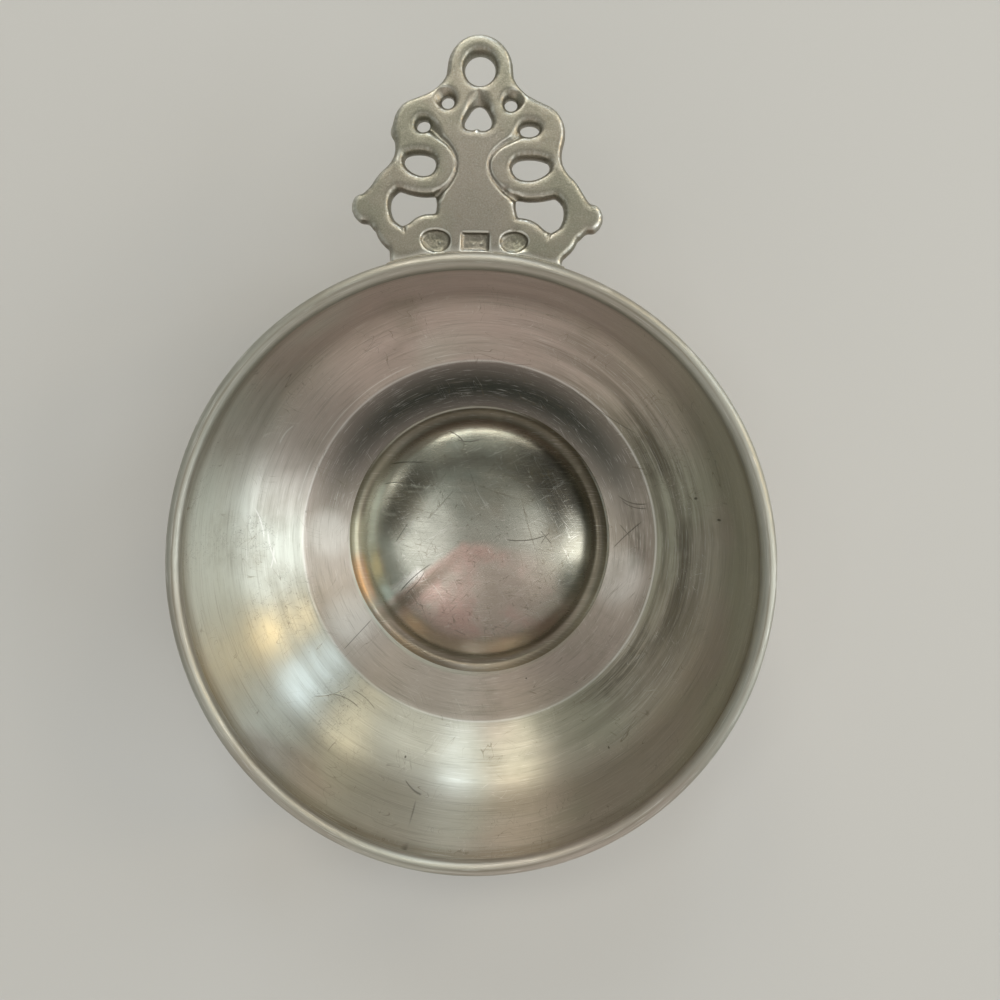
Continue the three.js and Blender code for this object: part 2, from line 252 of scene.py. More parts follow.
def bowl_line(turn_slope, turn_corner, boss_radius, gutter_middle):
    """The bowl's inside from the top of the boss to the root of the bead."""
    crown = FLOOR_HEIGHT + BOSS_CROWN
    edge = FLOOR_HEIGHT - BOSS_EDGE_DROP
    gutter = FLOOR_HEIGHT - GUTTER_DEPTH
    side = mouth_radius + BELLY
    reach = (side - FLOOR_RADIUS) * 0.8
    upper = mouth_height - BELLY_HEIGHT
    inward = gutter_middle - boss_radius
    outward = GUTTER_MOUTH - gutter_middle
    boss = bezier(
        24, (0, crown), (boss_radius / 2, crown),
        (boss_radius - BOSS_ROUND, edge + BOSS_ROUND * BOSS_EDGE_SLOPE), (boss_radius, edge))
    inner = bezier(
        10, (boss_radius, edge), (boss_radius + inward * 0.37, edge - inward * 0.37 * BOSS_EDGE_SLOPE),
        (gutter_middle - inward * 0.4, gutter), (gutter_middle, gutter))
    outer = bezier(
        10, (gutter_middle, gutter), (gutter_middle + outward * 0.4, gutter),
        (GUTTER_MOUTH - outward * 0.3, FLOOR_HEIGHT - GUTTER_DEPTH * 0.45), (GUTTER_MOUTH, FLOOR_HEIGHT))
    flat = bezier(
        6, (GUTTER_MOUTH, FLOOR_HEIGHT), (GUTTER_MOUTH + 1 * MM, FLOOR_HEIGHT),
        (FLOOR_RADIUS - 1 * MM, FLOOR_HEIGHT), (FLOOR_RADIUS, FLOOR_HEIGHT))
    turn = bezier(
        30, (FLOOR_RADIUS, FLOOR_HEIGHT), (FLOOR_RADIUS + reach, FLOOR_HEIGHT + reach * turn_slope),
        (side, FLOOR_HEIGHT + (BELLY_HEIGHT - FLOOR_HEIGHT) * turn_corner), (side, BELLY_HEIGHT))
    upright = bezier(
        12, (side, BELLY_HEIGHT), (side, BELLY_HEIGHT + upper * 0.37),
        (mouth_radius, mouth_height - upper * 0.3), (mouth_radius, mouth_height))
    return joined(boss, inner, outer, flat, turn, upright)


def bead_line(count=34):
    """Round the bead from the outside of the wall to its inside."""
    start = -bead_root
    turn = math.pi + 2 * bead_root
    points = []
    for i in range(count + 1):
        angle = start + turn * i / count
        radius = bead_centre_radius + BEAD_WIDTH / 2 * math.cos(angle)
        height = bead_centre_height + BEAD_HEIGHT / 2 * math.sin(angle)
        points.append(Vector((radius, 0, height)))
    return points


def turned_bowl():
    """The section drawn as one line and spun about the bowl's axis."""
    inside = bowl_line(*INSIDE)
    shell = offset_line(bowl_line(*UNDERSIDE), WALL)
    shell[0] = Vector((0, 0, inside[0].z - WALL))
    shell[-1] = Vector((mouth_radius + WALL, 0, mouth_height))
    ring_inside = GUTTER_MIDDLE - STANDING_RING / 2
    ring_outside = GUTTER_MIDDLE + STANDING_RING / 2
    under = [Vector((p.x, 0, max(p.z, 0))) for p in shell if p.x < ring_inside]
    ring = [Vector((ring_inside, 0, 0)), Vector((ring_outside, 0, 0))]
    side = [Vector((p.x, 0, max(p.z, 0))) for p in shell if p.x > ring_outside]
    bowl = draw_line("bowl_turned", joined(under, ring, side, bead_line(), list(reversed(inside))))
    edit(bowl)
    bpy.ops.mesh.spin(steps=BOWL_STEPS, angle=2 * math.pi, center=(0, 0, 0), axis=(0, 0, 1))
    bpy.ops.mesh.select_all(action="SELECT")
    bpy.ops.mesh.remove_doubles(threshold=0.005 * MM)
    bpy.ops.mesh.normals_make_consistent(inside=False)
    leave_edit()
    bowl.scale = (SPREAD_X, SPREAD_Y, 1)
    bowl.location = BOWL_AXIS
    place_applied(bowl)
    bpy.ops.object.shade_smooth_by_angle(angle=math.radians(40))
    for face in bowl.data.polygons:
        face.material_index = zone_of(face)
    shift_boss(bowl)
    make_uneven(bowl)
    return bowl


def shift_boss(bowl):
    """Inside, the boss and gutter lie a little nearer the handle than the rim does."""
    inside = [v for v in bowl.data.vertices if v.normal.z > 0.1 and v.co.z < FLOOR_HEIGHT * 2]
    for vertex in inside:
        radius = (vertex.co - BOWL_AXIS).xy.length
        vertex.co += BOSS_SHIFT * ease((FLOOR_RADIUS - radius) / (FLOOR_RADIUS - GUTTER_MOUTH) * 1.05)


def make_uneven(bowl):
    """Hand work and use have left the metal a little wavy. The foot ring stays flat."""
    for vertex in bowl.data.vertices:
        place = vertex.co - BOWL_AXIS
        if place.z < STANDING_FLAT:
            continue
        around = Vector((place.x, place.y, place.z * 2)) / WAVE_LENGTH
        rise = noise.noise(around) + 0.35 * noise.noise(around * 2.7)
        vertex.co.z += rise * WAVE_HEIGHT
        outward = Vector((place.x, place.y, 0)).normalized()
        swell = noise.noise(around + Vector((31, 7, 5))) * ease(place.z / RIM_HEIGHT)
        vertex.co += outward * swell * WAVE_HEIGHT


def zone_of(face):
    """The place in ZONES of a face's finish."""
    place = face.center - BOWL_AXIS
    if place.z > mouth_height:
        return ZONES.index("bead")
    outward = face.normal.xy.dot(place.xy.normalized())
    if face.normal.z < outward:
        return ZONES.index("outside")
    radius = math.hypot(place.x / SPREAD_X, place.y / SPREAD_Y)
    return ZONES.index("boss" if radius < GUTTER_MOUTH else "wall")


# Handle


def on_handle(vertex):
    """A place on the handle, in millimetres to the right of its axis and out from its root."""
    return vertex.co.x / MM, (vertex.co.y - HANDLE_ROOT) / MM


def bowl_distance(point):
    """How far a point lies from the bowl's axis, with the bowl's spread taken out."""
    return math.hypot((point.x - BOWL_AXIS.x) / SPREAD_X, (point.y - BOWL_AXIS.y) / SPREAD_Y)


def bowl_side(height):
    """The bowl's outside at a height, as a distance from its axis."""
    rise = (height - bead_centre_height) / (BEAD_HEIGHT / 2)
    bead = bead_centre_radius + BEAD_WIDTH / 2 * math.sqrt(max(1 - rise * rise, 0))
    wall = mouth_radius + WALL + BELLY * ease((RIM_HEIGHT - height) / (RIM_HEIGHT - BELLY_HEIGHT))
    return max(bead, wall) if abs(rise) < 1 else wall


def close_foot(handle):
    """The foot is drawn in over the soldered joint, so that only a thin line of solder shows."""
    for vertex in handle.data.vertices:
        gap = bowl_distance(vertex.co) - bowl_side(vertex.co.z)
        share = 1 - ease((gap - JOINT_GAP) / FOOT_REACH)
        towards = BOWL_AXIS - vertex.co
        towards.z = 0
        vertex.co += towards.normalized() * (JOINT_GAP - SOLDER_LINE) * share


def round_bands(handle):
    """Each band of the casting is a little full, highest along its middle."""
    mesh = handle.data
    lowest = HANDLE_FACE - PLATE_THICKNESS * 0.45
    edges = [v.co for v in mesh.vertices if v.normal.z < 0.6 and v.co.z > lowest]
    tree = KDTree(len(edges))
    for i, place in enumerate(edges):
        tree.insert((place.x, place.y, 0), i)
    tree.balance()
    falls = []
    for vertex in mesh.vertices:
        near = tree.find((vertex.co.x, vertex.co.y, 0))[2]
        falls.append(upper_share(vertex) * BAND_FALL * max(1 - near / BAND_REACH, 0) ** 2)
    for vertex, fall in zip(mesh.vertices, falls):
        vertex.co.z -= fall


def upper_share(vertex):
    """1 on the upper face and 0 below the middle of the plate."""
    return ease((vertex.co.z - HANDLE_FACE + PLATE_THICKNESS * 0.5) / (PLATE_THICKNESS * 0.3))


def press_hollows(handle):
    """The hollows that the mould left beside the holes."""
    upper = [v for v in handle.data.vertices if v.co.z > HANDLE_FACE - PLATE_THICKNESS / 2]
    for vertex in upper:
        x, y = on_handle(vertex)
        fall = 0
        for middle_x, middle_y, half_x, half_y, turn, depth in HOLLOWS:
            cosine, sine = math.cos(math.radians(turn)), math.sin(math.radians(turn))
            away_x, away_y = x - middle_x, y - middle_y
            along = (away_x * cosine + away_y * sine) / half_x
            across = (away_y * cosine - away_x * sine) / half_y
            fall = max(fall, depth * ease(1 - math.hypot(along, across)))
        vertex.co.z -= fall * MM * upper_share(vertex)


def soften_funnels(handle):
    """Smooths the grooves where they run out of the holes."""
    group = handle.vertex_groups.new(name="funnels")
    for vertex in handle.data.vertices:
        x, y = on_handle(vertex)
        share = max(ease((1 - math.hypot(x - a, y - b) / reach) * 1.6) for a, b, reach in SOFT_FUNNELS)
        if share and vertex.co.z > HANDLE_FACE - PLATE_THICKNESS / 2:
            group.add([vertex.index], share, "REPLACE")
    apply_modifier(handle, "SMOOTH", factor=0.5, iterations=24, vertex_group="funnels")


def strike_marks(handle):
    """Struck marks with rough floors and nothing to read. Writes their place on the piece."""
    layer = handle.data.attributes.new("struck", "FLOAT", "POINT")
    for vertex, entry in zip(handle.data.vertices, layer.data):
        x, y = on_handle(vertex)
        share = 0
        for middle_x, middle_y, half_x, half_y, round_mark in MARKS:
            away_x, away_y = (x - middle_x) / half_x, (y - middle_y) / half_y
            reach = math.hypot(away_x, away_y) if round_mark else max(abs(away_x), abs(away_y))
            lean = 1 + MARK_LEAN * (away_x + away_y)
            share = max(share, (0.6 * ease((1 - reach) / 0.25) + 0.6 * ease(1 - reach)) * lean)
        share *= ease((vertex.co.z - HANDLE_FACE + 1.2 * MM) / (0.3 * MM))
        rough = noise.noise(vertex.co / (0.55 * MM)) + 0.6 * noise.noise(vertex.co / (0.3 * MM))
        vertex.co.z -= (MARK_PRESS - MARK_ROUGH * rough) * MM * share
        entry.value = share


def pinch_necks(handle):
    """The knobs are set off from their arms by small notches."""
    for vertex in handle.data.vertices:
        x, y = on_handle(vertex)
        for middle_x, middle_y, reach in KNOB_NECKS:
            share = ease(1 - math.hypot(x - middle_x, y - middle_y) / reach)
            if share:
                knob_x, knob_y = math.copysign(KNOB_MIDDLE[0], middle_x), KNOB_MIDDLE[1]
                towards = Vector((knob_x - middle_x, knob_y - middle_y, 0)).normalized()
                vertex.co += towards * NECK_PINCH * MM * share


def add_burr(handle):
    """A small burr that the mould left."""
    for vertex in handle.data.vertices:
        away = vertex.co - BURR_PLACE
        share = ease(1 - abs(away.y) / BURR_LENGTH) * ease(1 - abs(away.x) / BURR_DEPTH)
        vertex.co.x -= BURR_HEIGHT * share * ease(1 - abs(away.z) / BURR_LENGTH)


def note_relief(piece, name, spread):
    """Writes how far each place stands out of, or lies under, the smoothed shape, in millimetres."""
    smooth = piece.copy()
    smooth.data = piece.data.copy()
    bpy.context.scene.collection.objects.link(smooth)
    apply_modifier(smooth, "SMOOTH", factor=0.5, iterations=spread)
    layer = piece.data.attributes.new(name, "FLOAT", "POINT")
    for vertex, other, entry in zip(piece.data.vertices, smooth.data.vertices, layer.data):
        entry.value = (vertex.co - other.co).dot(vertex.normal) / MM
    bpy.data.objects.remove(smooth)


def note_grime_and_shade(piece):
    """Writes where the handle is darkened: painted shade in walls that turn away from the handle's tip,
    where the light comes from, and dirt in corners.
    """
    relief = piece.data.attributes["relief"].data
    layer = piece.data.attributes.new("grime_and_shade", "FLOAT", "POINT")
    for vertex, height, entry in zip(piece.data.vertices, relief, layer.data):
        depth = ease((HANDLE_FACE - vertex.co.z - 0.15 * MM) / (0.7 * MM))
        # Walls that turn away from the light get painted shade
        turned = ease(0.5 - vertex.normal.dot(LIGHT_SIDE))
        hollow = ease(-height.value / 0.3 - 0.1)
        x, y = on_handle(vertex)
        thick = max(ease((1 - math.hypot(x - a, y - b) / reach) * 1.4) for a, b, reach in THICK_DIRT)
        thick *= ease((HANDLE_FACE - vertex.co.z + 0.12 * MM) / (0.5 * MM))
        entry.value = max(depth * turned, hollow, thick)


def cast_handle():
    """The handle's own surface, remeshed finely and worn soft."""
    handle = copy_of_node("handle", "handle_cast")
    apply_modifier(handle, "REMESH", mode="VOXEL", voxel_size=HANDLE_VOXEL, adaptivity=0)
    apply_modifier(handle, "SMOOTH", factor=0.5, iterations=3)
    press_hollows(handle)
    soften_funnels(handle)
    pinch_necks(handle)
    round_bands(handle)
    add_burr(handle)
    apply_modifier(handle, "SMOOTH", factor=0.5, iterations=2)
    strike_marks(handle)
    close_foot(handle)
    note_relief(handle, "relief", FORM_SPREAD)
    note_relief(handle, "edge", EDGE_SPREAD)
    note_grime_and_shade(handle)
    select_only(handle)
    bpy.ops.object.shade_smooth()
    return handle


def solder_bead():
    """The seam, swollen until it meets both the bowl and the foot."""
    seam = copy_of_node("solder_seam", "solder_fillet")
    apply_modifier(seam, "REMESH", mode="VOXEL", voxel_size=SOLDER_VOXEL, adaptivity=0)
    apply_modifier(seam, "SMOOTH", factor=0.5, iterations=4)
    for vertex in seam.data.vertices:
        middle = bowl_side(vertex.co.z) + JOINT_GAP / 2
        out = Vector((vertex.co.x - BOWL_AXIS.x, vertex.co.y - BOWL_AXIS.y, 0)).normalized()
        if bowl_distance(vertex.co) > middle:
            vertex.co -= out * (JOINT_GAP / 2 - SOLDER_LINE) * 0.6
        else:
            vertex.co -= out * SOLDER_SWELL
        vertex.co.z += SOLDER_SWELL * ease((vertex.co.z - HANDLE_FACE + 2 * MM) / (1 * MM))
    note_relief(seam, "relief", SOLDER_SPREAD)
    select_only(seam)
    bpy.ops.object.shade_smooth()
    return seam


# Finishes


class Value:
    """A socket of a finish. Arithmetic on it adds Math nodes."""

    def __init__(self, finish, socket):
        self.finish = finish
        self.socket = socket

    def calculate(self, operation, first, second):
        """One Math node."""
        return self.finish.node("Math", {"operation": operation}, {0: first, 1: second})

    def __add__(self, other):
        return self.calculate("ADD", self, other)

    def __radd__(self, other):
        return self.calculate("ADD", other, self)

    def __sub__(self, other):
        return self.calculate("SUBTRACT", self, other)

    def __rsub__(self, other):
        return self.calculate("SUBTRACT", other, self)

    def __mul__(self, other):
        return self.calculate("MULTIPLY", self, other)

    def __rmul__(self, other):
        return self.calculate("MULTIPLY", other, self)

    def __truediv__(self, other):
        return self.calculate("DIVIDE", self, other)

    def __pow__(self, other):
        return self.calculate("POWER", self, other)

    def larger(self, other):
        return self.calculate("MAXIMUM", self, other)

    def smaller(self, other):
        return self.calculate("MINIMUM", self, other)

    def size(self):
        return self.calculate("ABSOLUTE", self, 0.0)

    def step(self, low, high):
        """0 below low, 1 over high and soft between."""
        return self.finish.node(
            "MapRange", {"interpolation_type": "SMOOTHSTEP"},
            {"Value": self, "From Min": low, "From Max": high, "To Min": 0.0, "To Max": 1.0})

    def near(self, middle, reach):
        """1 at a value and 0 further from it than a reach."""
        return 1 - (self - middle).size().step(0.0, reach)


class Finish:
    """One material, or the surround, made of nodes."""

    def __init__(self, name, holder=None):
        self.material = holder or bpy.data.materials.new(name)
        self.material.use_nodes = True
        self.tree = self.material.node_tree
        self.tree.nodes.clear()

    def node(self, kind, settings=None, inputs=None, output=0):
        """A node of a kind, with its settings and then its sockets, and one of its outputs."""
        made = self.tree.nodes.new("ShaderNode" + kind)
        for name, value in (settings or {}).items():
            setattr(made, name, value)
        for name, value in (inputs or {}).items():
            if isinstance(value, Value):
                self.tree.links.new(value.socket, made.inputs[name])
            else:
                made.inputs[name].default_value = value
        return Value(self, made.outputs[output]) if made.outputs else None

    def place(self, centre=(0, 0, 0), scale=(1, 1, 1)):
        """The point on the surface in millimetres from a centre, stretched."""
        coordinates = self.node("TexCoord", output="Object")
        moved = self.node("VectorMath", {"operation": "SUBTRACT"}, {0: coordinates, 1: tuple(centre)})
        per_mm = tuple(s / MM for s in scale)
        return self.node("Mapping", inputs={"Vector": moved, "Scale": per_mm})

    def parts_of(self, vector):
        """A vector's three numbers."""
        made = self.node("SeparateXYZ", inputs={0: vector}).socket.node
        return [Value(self, socket) for socket in made.outputs]

    def vector(self, x, y, z):
        """A vector from three numbers."""
        return self.node("CombineXYZ", inputs={0: x, 1: y, 2: z})

    def noise(self, vector, scale=1.0, detail=2.0, roughness=0.5):
        """Noise over a vector."""
        return self.node("TexNoise", inputs={
            "Vector": vector, "Scale": scale, "Detail": detail, "Roughness": roughness})

    def noise_with(self, vector, fourth, scale=1.0, detail=2.0, roughness=0.5):
        """Noise over four numbers, for patterns that run round in rings."""
        return self.node("TexNoise", {"noise_dimensions": "4D"}, {
            "Vector": vector, "W": fourth, "Scale": scale, "Detail": detail, "Roughness": roughness})

    def mix(self, share, first, second):
        """One colour over another by a share."""
        return self.node(
            "Mix", {"data_type": "RGBA", "clamp_factor": True}, {0: share, 6: first, 7: second}, output=2)

    def bump(self, height, strength, distance):
        """The surface's direction, roughened by a height."""
        return self.node("Bump", inputs={"Height": height, "Strength": strength, "Distance": distance})

    def metal(self, colour, roughness, normal, **fixed):
        """The metal's own shader: what changes is linked and what is fixed is set on its socket."""
        inputs = {"Base Color": colour, "Roughness": roughness, "Normal": normal, "Metallic": 1.0}
        for name, value in fixed.items():
            inputs[name.replace("_", " ")] = value
        shader = self.node("BsdfPrincipled", inputs=inputs)
        self.node("OutputMaterial", inputs={"Surface": shader})
        return self.material


STREAK_RADIUS = 60     # in millimetres: where a streak has its stated length


class Rings:
    """The bowl's own measures at a point: round its axis, out from it and up, in millimetres."""

    def __init__(self, finish, centre):
        self.finish = finish
        self.point = finish.place(centre, (1 / SPREAD_X, 1 / SPREAD_Y, 1))
        self.x, self.y, self.height = finish.parts_of(self.point)
        self.radius = ((self.x * self.x + self.y * self.y) ** 0.5).larger(0.01)
        self.cosine = self.x / self.radius
        self.sine = self.y / self.radius
        self.along = self.radius + self.height

    def streaks(self, length, width, detail=2.0, roughness=0.55):
        """Marks that run round in rings, about so long at the wall and so wide, in millimetres."""
        turns = STREAK_RADIUS / length
        around = self.finish.vector(self.cosine * turns, self.sine * turns, self.height * 0.02)
        return self.finish.noise_with(around, self.along / width, detail=detail, roughness=roughness)

    def rubs(self, length, width):
        """Marks that run straight across, from rubbing with a cloth."""
        point = self.finish.vector(self.x / length + self.y / length * 0.3, self.y / width, 0.0)
        return self.finish.noise(point, detail=3.0, roughness=0.6)

    def between(self, low, high, soft):
        """1 from one radius to another."""
        return self.radius.step(low - soft, low + soft) * (1 - self.radius.step(high - soft, high + soft))

    def towards(self, azimuth, reach):
        """1 on the side at an azimuth, and 0 further round from it than a reach."""
        angle = math.radians(azimuth)
        facing = self.cosine * math.cos(angle) + self.sine * math.sin(angle)
        return facing.step(math.cos(math.radians(reach)), 1.0)

    def spot(self, x, y, reach):
        """1 at a place in plan and 0 further from it than a reach."""
        return 1 - (((self.x - x) ** 2.0 + (self.y - y) ** 2.0) ** 0.5).step(reach * 0.4, reach)

    def scratch(self, x, y, end_x, end_y, width, bow):
        """A scratch from one place in plan to another, bowed to its left by so much."""
        length = math.hypot(end_x - x, end_y - y)
        along_x, along_y = (end_x - x) / length, (end_y - y) / length
        run = ((self.x - x) * along_x + (self.y - y) * along_y) / length
        off = (self.y - y) * along_x - (self.x - x) * along_y
        if bow:
            off = off - run * (1 - run) * 4 * bow
        ends = run.step(-0.04, 0.12) * (1 - run.step(0.88, 1.04))
        return off.near(0.0, width) * ends


# Places in the bowl are in plan from its axis, in millimetres.
# Scratches that the eye finds first: both ends, width and bow
DEEP_SCRATCHES = [
    (-35.8, -28.7, -28.1, -20.2, 0.2, 0.0),
    (-41.6, -38.5, -33.4, -37.4, 0.2, -0.8),
    (-37.7, -38.6, -30.5, -42.6, 0.2, 0.5),
    (-32.6, -38.4, -26.4, -43.3, 0.16, 0.4),
    (-13.2, -60.0, -11.9, -62.5, 0.3, 0.0),
    (-16.6, -57.6, -11.9, -59.8, 0.16, -0.3),
    (35.6, 0.6, 42.9, 7.7, 0.16, 0.2),
    (37.2, 6.8, 39.8, 3.9, 0.15, 0.0),
    (36.3, 14.2, 44.0, 12.3, 0.18, -0.9),
    (37.3, 13.0, 44.0, 11.2, 0.16, -0.8),
    (22.3, 41.1, 40.0, 29.8, 0.14, -0.5),
]
# The same for scratches that catch the light, and for those on the boss
PALE_SCRATCHES = [
    (-54.2, 3.2, -52.3, -5.8, 0.3, -0.4),
    (-53.0, -1.0, -53.6, -6.5, 0.24, 0.2),
    (-56.5, 9.0, -55.0, 1.5, 0.24, 0.3),
    (-50.4, 25.0, -47.0, 29.5, 0.24, 0.4),
]
BOSS_SCRATCHES = [
    (7.3, 1.1, 17.9, 2.6, 0.25, -0.8),
    (16.2, 3.6, 19.2, 0.2, 0.18, 0.0),
    (16.4, 0.2, 18.6, 3.2, 0.16, 0.2),
    (-24.0, 19.1, -14.6, 19.8, 0.26, 0.4),
    (-25.4, 14.0, -19.9, 14.5, 0.24, 0.3),
    (-25.1, 10.2, -21.6, 10.5, 0.2, 0.0),
    (-21.9, -0.5, -18.7, 4.4, 0.18, 0.0),
    (-8.5, 28.0, -4.6, 25.4, 0.2, 0.3),
    (-6.4, 25.9, -0.7, 26.0, 0.18, -0.5),
    (-20.6, -13.6, -12.4, -5.9, 0.22, 0.5),
    (-19.2, -14.2, -14.0, -7.9, 0.16, -0.4),
]
# Where the wall has a net of hairline scratches, and single pits: place and reach
CRAZED = [(-50, -15, 11), (-57, 2, 8), (-35, -41, 10), (46, 22, 9)]
DARK_PITS = [
    (-17.3, -53.7, 0.35), (35.4, -47.5, 0.3), (59.2, 10.2, 0.4), (54.5, 14.7, 0.45), (14.0, -34.5, 0.3),
    (-2.3, 28.9, 0.35),
]

# The turned metal's greys, some painted paler or darker for light and shade, what has settled on it, and
# the colours of painted shade and shine
BRIGHT = (0.66, 0.69, 0.63, 1)
PLAIN = (0.52, 0.51, 0.45, 1)
OLIVE = (0.46, 0.45, 0.36, 1)
ROSY = (0.53, 0.45, 0.415, 1)
SLATE = (0.13, 0.14, 0.12, 1)
SOOT_AND_SHADE = (0.10, 0.095, 0.075, 1)
GRIME_AND_SHADE = (0.17, 0.145, 0.095, 1)
SHINE = (0.82, 0.82, 0.79, 1)
# How rough each zone is, how much rougher across its rings than along them, and how deep its marks are
SURFACES = {
    "wall": (0.39, 0.93, 0.2),
    "boss": (0.23, 0.1, 0.05),
    "bead": (0.48, 0.3, 0.15),
    "outside": (0.42, 0.85, 0.2),
}


def any_of(values):
    """The largest of several masks."""
    total = values[0]
    for value in values[1:]:
        total = total.larger(value)
    return total


def loose_scratches(finish, point, turn, scale, amount):
    """Thin stray scratches that run about one way, here and there."""
    turned = finish.node("Mapping", {"vector_type": "TEXTURE"}, {
        "Vector": point, "Rotation": (0, 0, math.radians(turn)),
        "Scale": (1 / scale, 16 / scale, 3 / scale)})
    lines = finish.noise(turned, 1.0, detail=0.0)
    place = finish.noise_with(point, turn * 0.37, 0.11, detail=1.0)
    return lines.near(0.5, 0.010) * place.step(1 - amount, 1.06 - amount)


def boss_colour(f, r, bands, stain):
    """The boss is painted with a reflection, green above and rosy below a slanting border, and with
    painted shade in its gutter.
    """
    # How far a place lies over the border, which falls away to both sides of the middle
    over = r.y - (r.x + 4.3).smaller(0.0) * 0.84 + 0.5 + (stain - 0.5) * 6
    over = (over + (r.x - 2).larger(0.0) * 0.39) * (1 - r.x.step(-2, 14) * 0.72)
    # Painted reflection: rosy below the border and green above it, mottled by the stain
    rosy = f.mix(stain.step(0.44, 0.6), (0.57, 0.435, 0.385, 1), (0.53, 0.48, 0.42, 1))
    green = f.mix(stain.step(0.4, 0.6), (0.44, 0.455, 0.40, 1), (0.41, 0.405, 0.345, 1))
    colour = f.mix(over.step(-1.4, 1.4), rosy, green)
    # On the left the border has a painted shadow on its lower side, and a painted highlight along its end
    left = 1 - r.x.step(-13, -1)
    colour = f.mix(over.near(-3.0, 4.0) * left * 0.8, colour, (0.22, 0.19, 0.15, 1))
    colour = f.mix(r.scratch(-23, -14, -14.5, -7.5, 2.2, 0.0) * 0.7, colour, SHINE)
    # Two painted pale reflections left of the middle
    upright = r.x.near(-10.0, 6.5) * r.y.step(-4, 3) * (1 - r.y.step(12, 19))
    colour = f.mix(upright * 0.75, colour, (0.62, 0.64, 0.57, 1))
    colour = f.mix(r.spot(-13, 1, 9) * 0.5, colour, (0.58, 0.59, 0.53, 1))
    # Painted shade round the boss's edge, where it mirrors dark surroundings
    upper_left = r.between(19.0, 27.0, 3.0) * r.towards(151, 36)
    colour = f.mix(upper_left * bands.step(0.28, 0.46) * 0.95, colour, SOOT_AND_SHADE)
    upper_right = r.between(19, 40, 4) * r.towards(38, 46)
    colour = f.mix(upper_right * 0.95, colour, (0.06, 0.055, 0.045, 1))
    colour = f.mix(r.spot(27, -10, 8) * (0.4 + 0.6 * bands.step(0.3, 0.6)) * 0.85, colour, SLATE)
    below = r.between(25.5, 40, 3.0) * r.towards(-88, 70)
    colour = f.mix(below * 0.6, colour, (0.26, 0.22, 0.165, 1))
    above = r.between(19.5, 23.5, 2.5) * r.towards(85, 64) * (0.5 + 0.5 * bands.step(0.35, 0.6))
    colour = f.mix(above * 0.8, colour, (0.17, 0.155, 0.125, 1))
    # The gutter is painted with shade but for its left side, which carries a painted pale reflection and
    # then a brassy one
    gutter = r.radius.step(28.9, 31.0)
    colour = f.mix(gutter * 0.6, colour, (0.36, 0.32, 0.25, 1))
    dark_sides = (r.towards(-80, 80) * 0.75).larger(r.towards(20, 60)).larger(r.towards(90, 70))
    colour = f.mix(gutter * dark_sides * 0.85, colour, (0.095, 0.082, 0.06, 1))
    outer = r.radius.step(30.5, 32.0)
    colour = f.mix(outer * r.towards(156, 26) * 0.8, colour, (0.20, 0.18, 0.13, 1))
    colour = f.mix(outer * r.towards(181, 14) * 0.9, colour, (0.46, 0.44, 0.33, 1))
    colour = f.mix(outer * r.towards(199, 14) * 0.9, colour, (0.56, 0.38, 0.24, 1))
    # The lip has a painted highlight above and on the right, and painted shade on its other sides
    lip = r.radius.near(GUTTER_MOUTH / MM - 0.3, 0.4)
    lit = r.towards(108, 48).larger(r.towards(2, 42))
    colour = f.mix(lip * (1 - lit) * 0.4, colour, GRIME_AND_SHADE)
    return f.mix(lip * lit * 0.8, colour, SHINE)


def bead_colour(f, r, bands, tint):
    """The bead is rubbed pale, with a painted shadow line where it meets the side."""
    colour = f.mix(tint.step(0.4, 0.6), (0.41, 0.41, 0.365, 1), (0.37, 0.35, 0.305, 1))
    colour = f.mix(r.towards(-30, 70) * tint.step(0.45, 0.7) * 0.5, colour, ROSY)
    # Painted shadow in the crease under the bead's inner side
    crease = r.radius.near(61.55, 0.35) * r.height.step(41.5, 43.0)
    return f.mix(crease * bands.step(0.38, 0.62) * 0.55, colour, GRIME_AND_SHADE)


def outside_colour(f, r, bands, tint):
    """The outside is plain, with painted shade under the bead and round the foot ring."""
    colour = f.mix(tint.step(0.35, 0.6), PLAIN, ROSY)
    # Painted shade under the bead and, below, round the foot ring
    colour = f.mix(r.height.step(33.0, 41.5) * (0.3 + 0.4 * bands.step(0.35, 0.6)), colour, GRIME_AND_SHADE)
    return f.mix((1 - r.height.step(0.2, 3.0)) * 0.5, colour, GRIME_AND_SHADE)


# Dark smudges on the wall: azimuth and reach in degrees, radius and half width in millimetres
SMUDGES = [(26, 26, 51, 6), (8, 20, 42, 5), (-6, 24, 53, 5), (-38, 22, 50, 5)]
# Where painted highlights lie on the floor: place and reach
FLOOR_HIGHLIGHTS = [(-34, -20, 9), (-40, 2, 8), (37, -7, 10)]


